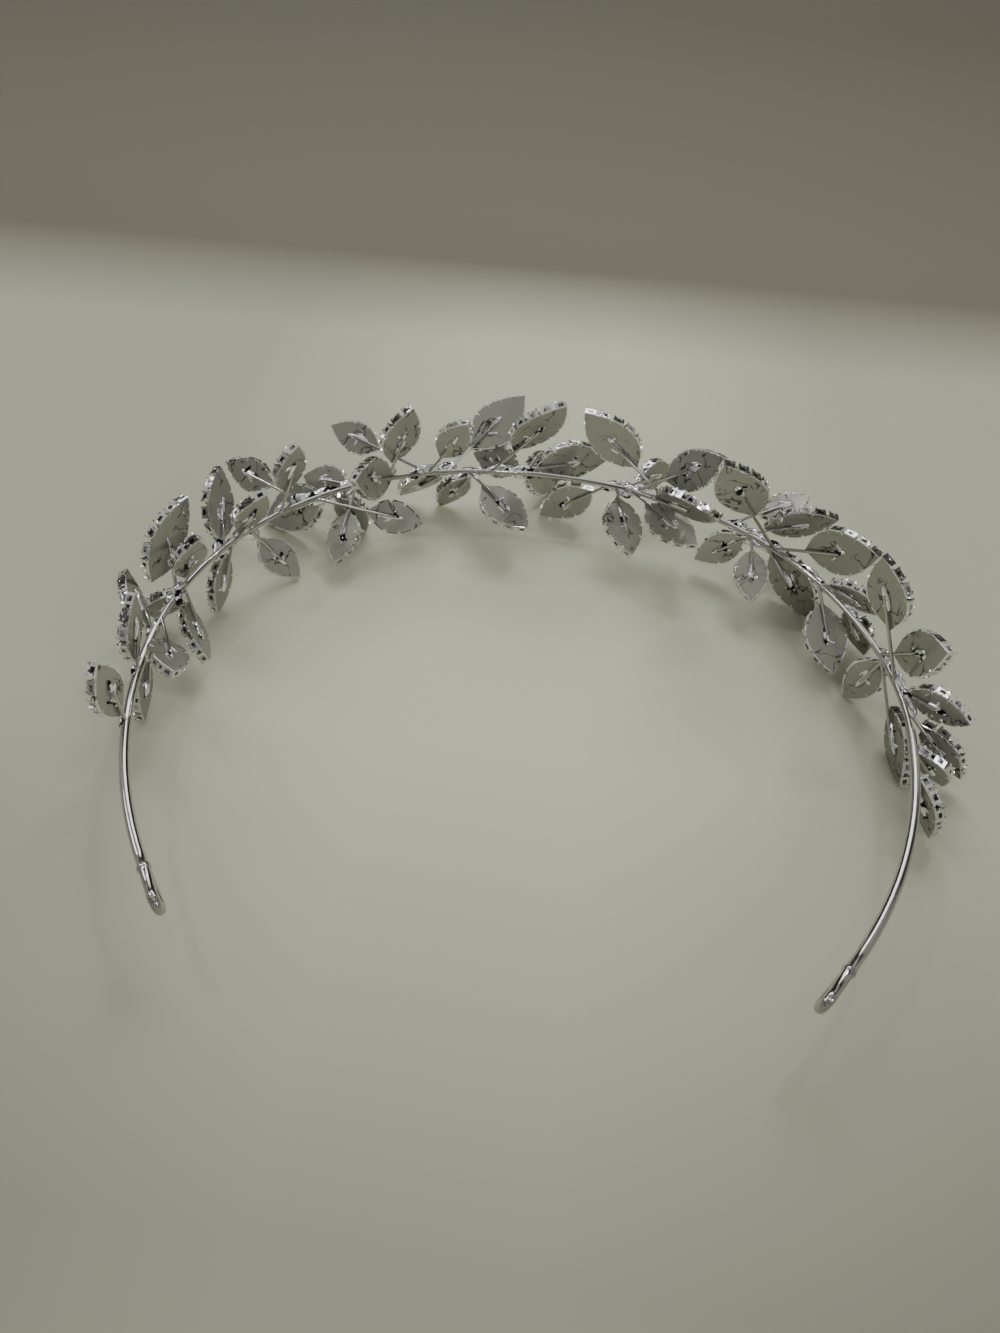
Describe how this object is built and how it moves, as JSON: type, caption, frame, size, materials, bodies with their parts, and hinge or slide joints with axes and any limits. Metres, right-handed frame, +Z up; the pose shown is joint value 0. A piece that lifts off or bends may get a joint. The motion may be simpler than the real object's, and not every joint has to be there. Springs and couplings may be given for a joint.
{
  "type": "diadem",
  "caption": "Open wire diadem whose bare legs end in eye loops, with wire stems along its crown that carry pointed leaf plates set with clear cut stones.",
  "frame": {"origin": "middle of the bounding box in plan, on the surface that the lowest leaf tips rest on, with the band lying level above it", "axes": "+X from the left leg to the right leg, +Y from the open end towards the crown, +Z up from the surface it lies on"},
  "size_m": [0.1688, 0.1464, 0.0402],
  "materials": {
    "silver_wire": "polished",
    "silver_leaf": "mirror polished",
    "rhinestone": "clear cut crystal"
  },
  "bodies": {
    "root": {"band": "silver_wire", "leaf_01": "silver_leaf", "leaf_02": "silver_leaf", "leaf_03": "silver_leaf", "leaf_04": "silver_leaf", "leaf_05": "silver_leaf", "leaf_06": "silver_leaf", "leaf_07": "silver_leaf", "leaf_08": "silver_leaf", "leaf_09": "silver_leaf", "leaf_10": "silver_leaf", "leaf_11": "silver_leaf", "leaf_12": "silver_leaf", "leaf_13": "silver_leaf", "leaf_14": "silver_leaf", "leaf_15": "silver_leaf", "leaf_16": "silver_leaf", "leaf_17": "silver_leaf", "leaf_18": "silver_leaf", "leaf_19": "silver_leaf", "leaf_20": "silver_leaf", "leaf_21": "silver_leaf", "leaf_22": "silver_leaf", "leaf_23": "silver_leaf", "leaf_24": "silver_leaf", "leaf_25": "silver_leaf", "leaf_26": "silver_leaf", "leaf_27": "silver_leaf", "leaf_28": "silver_leaf", "leaf_29": "silver_leaf", "leaf_30": "silver_leaf", "leaf_31": "silver_leaf", "leaf_32": "silver_leaf", "leaf_33": "silver_leaf", "leaf_34": "silver_leaf", "leaf_35": "silver_leaf", "leaf_36": "silver_leaf", "leaf_37": "silver_leaf", "leaf_38": "silver_leaf", "leaf_39": "silver_leaf", "leaf_40": "silver_leaf", "leaf_41": "silver_leaf", "leaf_42": "silver_leaf", "leaf_43": "silver_leaf", "leaf_44": "silver_leaf", "leaf_45": "silver_leaf", "leaf_46": "silver_leaf", "leaf_47": "silver_leaf", "leaf_48": "silver_leaf", "leaf_49": "silver_leaf", "leaf_50": "silver_leaf", "leaf_51": "silver_leaf", "leaf_52": "silver_leaf", "leaf_53": "silver_leaf", "leaf_54": "silver_leaf", "leaf_55": "silver_leaf", "leaf_56": "silver_leaf", "stones": "rhinestone"}
  },
  "joints": []
}
